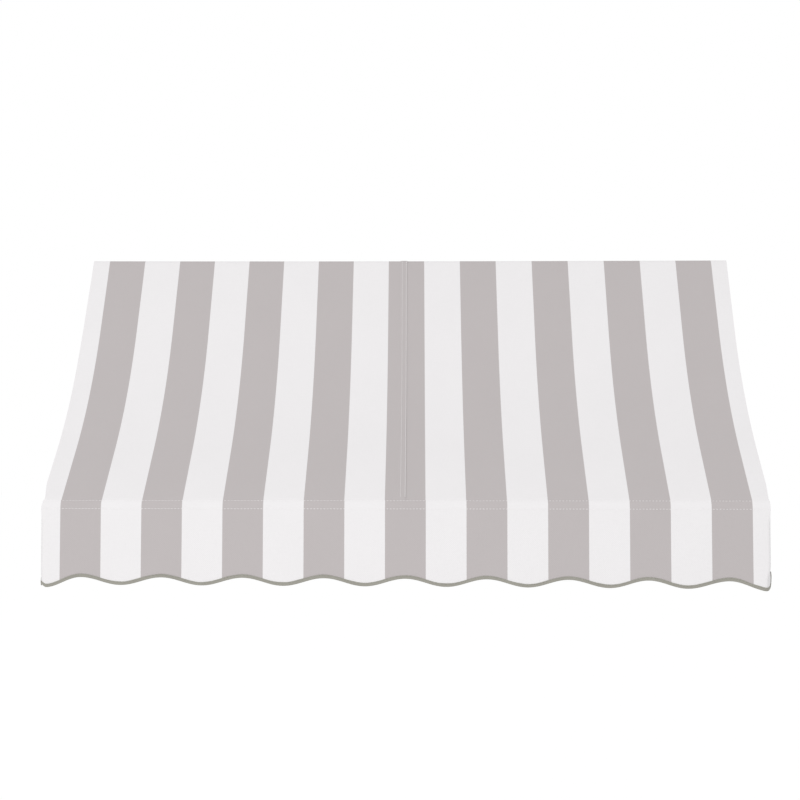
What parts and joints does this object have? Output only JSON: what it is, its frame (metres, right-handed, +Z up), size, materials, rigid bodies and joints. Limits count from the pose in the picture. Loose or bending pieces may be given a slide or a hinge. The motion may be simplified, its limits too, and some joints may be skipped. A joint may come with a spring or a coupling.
{
  "type": "window awning",
  "caption": "Fixed window awning: a tube frame under a striped cloth cover with a concave slope, closed sides and a scalloped, taped valance.",
  "frame": {"origin": "on the wall face of the middle wall plate, behind the head tube and level with its axis, midway between the two sides", "axes": "+X to the right as seen from the street, +Y into the wall, +Z up"},
  "size_m": [1.644, 0.6225, 0.7819],
  "materials": {
    "striped_cloth": "matt woven acrylic cloth in white and light grey stripes",
    "pocket_cloth": "matt woven acrylic cloth, plain white",
    "edge_tape": "matt woven tape, grey",
    "coated_tube": "white powder coat, satin",
    "coated_casting": "white powder coat on a sand casting, satin",
    "stainless_screw": "stainless, satin"
  },
  "bodies": {
    "root": {"front_corner_left": "coated_casting", "front_corner_left_screw_1": "stainless_screw", "front_corner_left_screw_2": "stainless_screw", "front_corner_left_screw_3": "stainless_screw", "front_corner_right": "coated_casting", "front_corner_right_screw_1": "stainless_screw", "front_corner_right_screw_2": "stainless_screw", "front_corner_right_screw_3": "stainless_screw", "front_middle_joint": "coated_casting", "front_middle_joint_screw_1": "stainless_screw", "front_middle_joint_screw_2": "stainless_screw", "front_middle_joint_screw_3": "stainless_screw", "front_pocket_left": "pocket_cloth", "front_pocket_right": "pocket_cloth", "front_tube_left": "coated_tube", "front_tube_right": "coated_tube", "head_corner_left": "coated_casting", "head_corner_left_screw_1": "stainless_screw", "head_corner_left_screw_2": "stainless_screw", "head_corner_left_screw_3": "stainless_screw", "head_corner_right": "coated_casting", "head_corner_right_screw_1": "stainless_screw", "head_corner_right_screw_2": "stainless_screw", "head_corner_right_screw_3": "stainless_screw", "head_middle_joint": "coated_casting", "head_middle_joint_screw_1": "stainless_screw", "head_middle_joint_screw_2": "stainless_screw", "head_middle_joint_screw_3": "stainless_screw", "head_tube_left": "coated_tube", "head_tube_right": "coated_tube", "rafter_left": "coated_tube", "rafter_middle": "coated_tube", "rafter_right": "coated_tube", "rear_corner_left": "coated_casting", "rear_corner_left_screw_1": "stainless_screw", "rear_corner_left_screw_2": "stainless_screw", "rear_corner_right": "coated_casting", "rear_corner_right_screw_1": "stainless_screw", "rear_corner_right_screw_2": "stainless_screw", "side_pocket_left": "pocket_cloth", "side_pocket_right": "pocket_cloth", "side_tube_left": "coated_tube", "side_tube_right": "coated_tube", "top_panel_left": "striped_cloth", "top_panel_right": "striped_cloth", "upright_left": "coated_tube", "upright_pocket_left": "pocket_cloth", "upright_pocket_right": "pocket_cloth", "upright_right": "coated_tube", "valance_binding": "edge_tape", "valance_front": "striped_cloth", "valance_left": "striped_cloth", "valance_right": "striped_cloth", "wing_left": "striped_cloth", "wing_right": "striped_cloth"}
  },
  "joints": []
}
